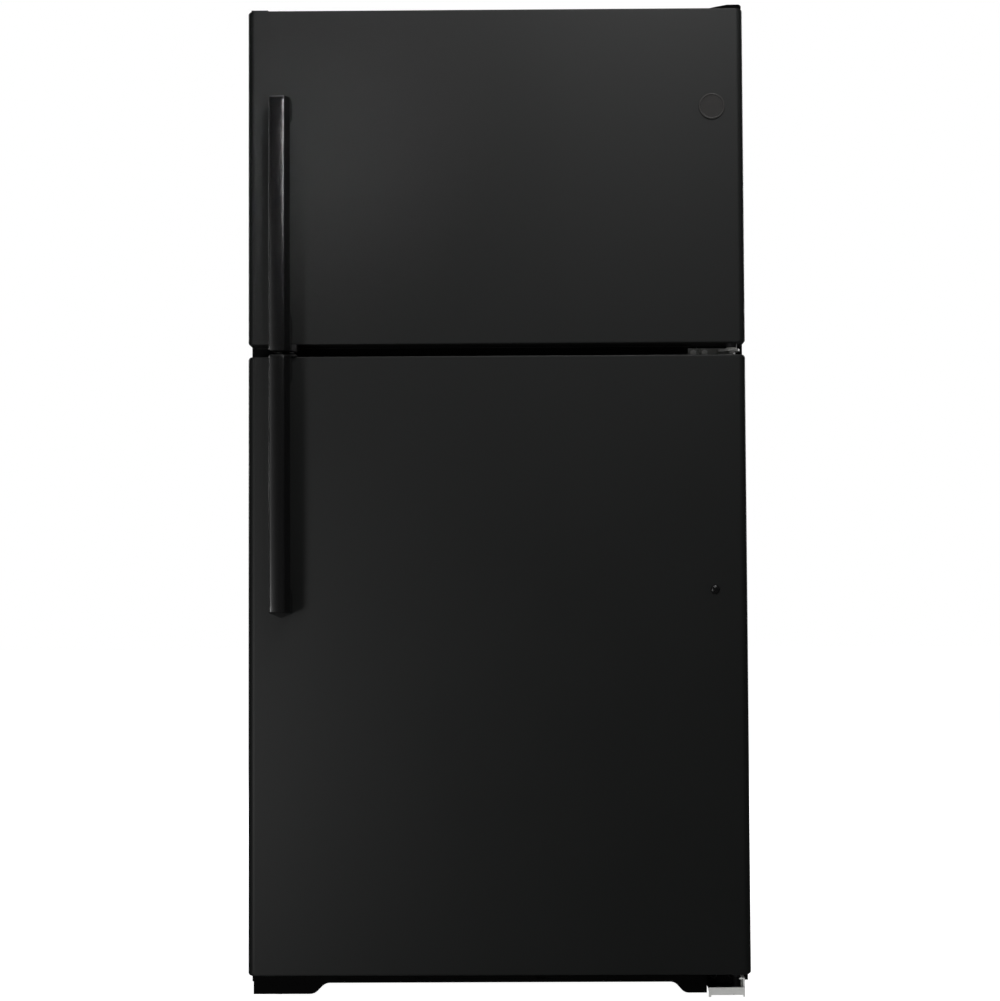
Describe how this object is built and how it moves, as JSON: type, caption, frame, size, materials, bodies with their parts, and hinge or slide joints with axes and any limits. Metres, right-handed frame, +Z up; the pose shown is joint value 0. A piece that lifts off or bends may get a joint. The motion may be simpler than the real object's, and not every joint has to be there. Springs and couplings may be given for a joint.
{
  "type": "top freezer refrigerator",
  "caption": "Free-standing refrigerator with the freezer above, flat doors, bar handles at the left, hinges at the right, shelves, crispers and door bins.",
  "frame": {"origin": "on the floor, under the middle of the object's box, handles included", "axes": "+Z up, -Y out of the doors, +X to the hinge side"},
  "size_m": [0.832, 0.87, 1.6625],
  "materials": {
    "black_door_paint": "satin",
    "black_case_paint": "satin",
    "galvanised_sheet": "satin",
    "rigid_foam": "matte",
    "white_liner": "satin",
    "white_plastic": "satin",
    "black_gloss_plastic": "gloss",
    "black_matte_plastic": "matte",
    "grey_rail_paint": "satin",
    "dark_hinge_steel": "satin",
    "bright_zinc": "satin",
    "gasket_rubber": "matte",
    "black_rubber": "matte",
    "clear_plastic": "gloss",
    "lamp_plastic": "satin",
    "shelf_glass": "gloss",
    "coil_aluminium": "satin",
    "coil_black": "satin",
    "compressor_black": "gloss",
    "motor_steel": "satin",
    "fan_plastic": "matte",
    "roller_nylon": "matte",
    "badge_metal": "satin"
  },
  "bodies": {
    "cabinet": {"cabinet_shell": "black_case_paint", "rear_panel": "galvanised_sheet", "floor_panel": "galvanised_sheet", "base_pan": "galvanised_sheet", "cabinet_foam": "rigid_foam", "fresh_food_liner": "white_liner", "freezer_liner": "white_liner", "center_rail": "grey_rail_paint", "toe_grille": "black_matte_plastic", "top_hinge": "dark_hinge_steel", "top_hinge_cover": "black_matte_plastic", "center_hinge": "dark_hinge_steel", "bottom_hinge": "bright_zinc", "cabinet_screws": "bright_zinc", "rear_access_cover": "black_matte_plastic", "cord_gland": "black_rubber", "roller_axles": "bright_zinc", "compressor": "compressor_black", "condenser_coil": "coil_black", "condenser_fan_motor": "motor_steel", "evaporator_coil": "coil_aluminium", "evaporator_cover": "white_plastic", "evaporator_fan_motor": "motor_steel", "control_housing": "white_plastic", "light_lens": "lamp_plastic", "shelf_frames": "white_plastic", "glass_panels": "shelf_glass", "crisper_cover_frame": "white_plastic", "freezer_shelf": "white_plastic", "hinge_thrust_washers": "roller_nylon"},
    "left_leg": {"left_leg": "bright_zinc"},
    "right_leg": {"right_leg": "bright_zinc"},
    "left_roller": {"left_roller": "roller_nylon"},
    "right_roller": {"right_roller": "roller_nylon"},
    "condenser_fan": {"condenser_fan_blade": "fan_plastic"},
    "evaporator_fan": {"evaporator_fan_blade": "fan_plastic"},
    "temperature_dial": {"temperature_dial": "white_plastic"},
    "switch_plunger": {"switch_plunger": "white_plastic"},
    "left_crisper": {"left_crisper": "clear_plastic"},
    "right_crisper": {"right_crisper": "clear_plastic"},
    "left_humidity_slider": {"left_humidity_slider": "white_plastic"},
    "right_humidity_slider": {"right_humidity_slider": "white_plastic"},
    "freezer_door": {"freezer_door_skin": "black_door_paint", "freezer_door_caps": "black_matte_plastic", "freezer_door_foam": "rigid_foam", "freezer_door_liner": "white_liner", "freezer_door_gasket": "gasket_rubber", "freezer_door_bins": "clear_plastic", "freezer_handle": "black_gloss_plastic", "freezer_handle_fasteners": "bright_zinc", "badge": "badge_metal"},
    "fresh_food_door": {"fresh_food_door_skin": "black_door_paint", "fresh_food_door_caps": "black_matte_plastic", "fresh_food_door_foam": "rigid_foam", "fresh_food_door_liner": "white_liner", "fresh_food_door_gasket": "gasket_rubber", "fresh_food_door_bins": "clear_plastic", "fresh_food_handle": "black_gloss_plastic", "fresh_food_handle_fasteners": "bright_zinc", "plug_button": "black_gloss_plastic"}
  },
  "joints": [
    {"name": "fresh_food_door_swing", "type": "hinge", "parent": "cabinet", "child": "fresh_food_door", "pos_m": [0.394, -0.34, 0.5], "axis": [0, 0, 1], "range_deg": [0, 135]},
    {"name": "freezer_door_swing", "type": "hinge", "parent": "cabinet", "child": "freezer_door", "pos_m": [0.394, -0.34, 1.4], "axis": [0, 0, 1], "range_deg": [0, 135]},
    {"name": "left_crisper_slide", "type": "slide", "parent": "cabinet", "child": "left_crisper", "axis": [0, -1, 0], "range_m": [0, 0.24]},
    {"name": "right_crisper_slide", "type": "slide", "parent": "cabinet", "child": "right_crisper", "axis": [0, -1, 0], "range_m": [0, 0.24]},
    {"name": "switch_plunger_travel", "type": "slide", "parent": "cabinet", "child": "switch_plunger", "axis": [0, -1, 0], "range_m": [0, 0.005]},
    {"name": "temperature_dial_turn", "type": "hinge", "parent": "cabinet", "child": "temperature_dial", "pos_m": [0.09, -0.151, 1.013], "axis": [0, -1, 0], "range_deg": [0, 270]},
    {"name": "left_humidity_slide", "type": "slide", "parent": "cabinet", "child": "left_humidity_slider", "axis": [1, 0, 0], "range_m": [0, 0.04]},
    {"name": "right_humidity_slide", "type": "slide", "parent": "cabinet", "child": "right_humidity_slider", "axis": [1, 0, 0], "range_m": [0, 0.04]},
    {"name": "left_leg_turn", "type": "hinge", "parent": "cabinet", "child": "left_leg", "pos_m": [-0.37, -0.262, 0.03], "axis": [0, 0, 1], "continuous": true},
    {"name": "right_leg_turn", "type": "hinge", "parent": "cabinet", "child": "right_leg", "pos_m": [0.37, -0.262, 0.03], "axis": [0, 0, 1], "continuous": true},
    {"name": "left_roller_spin", "type": "hinge", "parent": "cabinet", "child": "left_roller", "pos_m": [-0.386, 0.385, 0.017], "axis": [1, 0, 0], "continuous": true},
    {"name": "right_roller_spin", "type": "hinge", "parent": "cabinet", "child": "right_roller", "pos_m": [0.386, 0.385, 0.017], "axis": [1, 0, 0], "continuous": true},
    {"name": "condenser_fan_spin", "type": "hinge", "parent": "cabinet", "child": "condenser_fan", "pos_m": [-0.05, 0.331, 0.155], "axis": [1, 0, 0], "continuous": true},
    {"name": "evaporator_fan_spin", "type": "hinge", "parent": "cabinet", "child": "evaporator_fan", "pos_m": [0, 0.318, 1.436], "axis": [0, 1, 0], "continuous": true}
  ],
  "couplings": [
    {"joint": "left_crisper_slide", "follows": "fresh_food_door_swing", "m_per_rad": 0.1},
    {"joint": "right_crisper_slide", "follows": "fresh_food_door_swing", "m_per_rad": 0.1},
    {"joint": "switch_plunger_travel", "follows": "fresh_food_door_swing", "m_per_rad": 0.002}
  ]
}
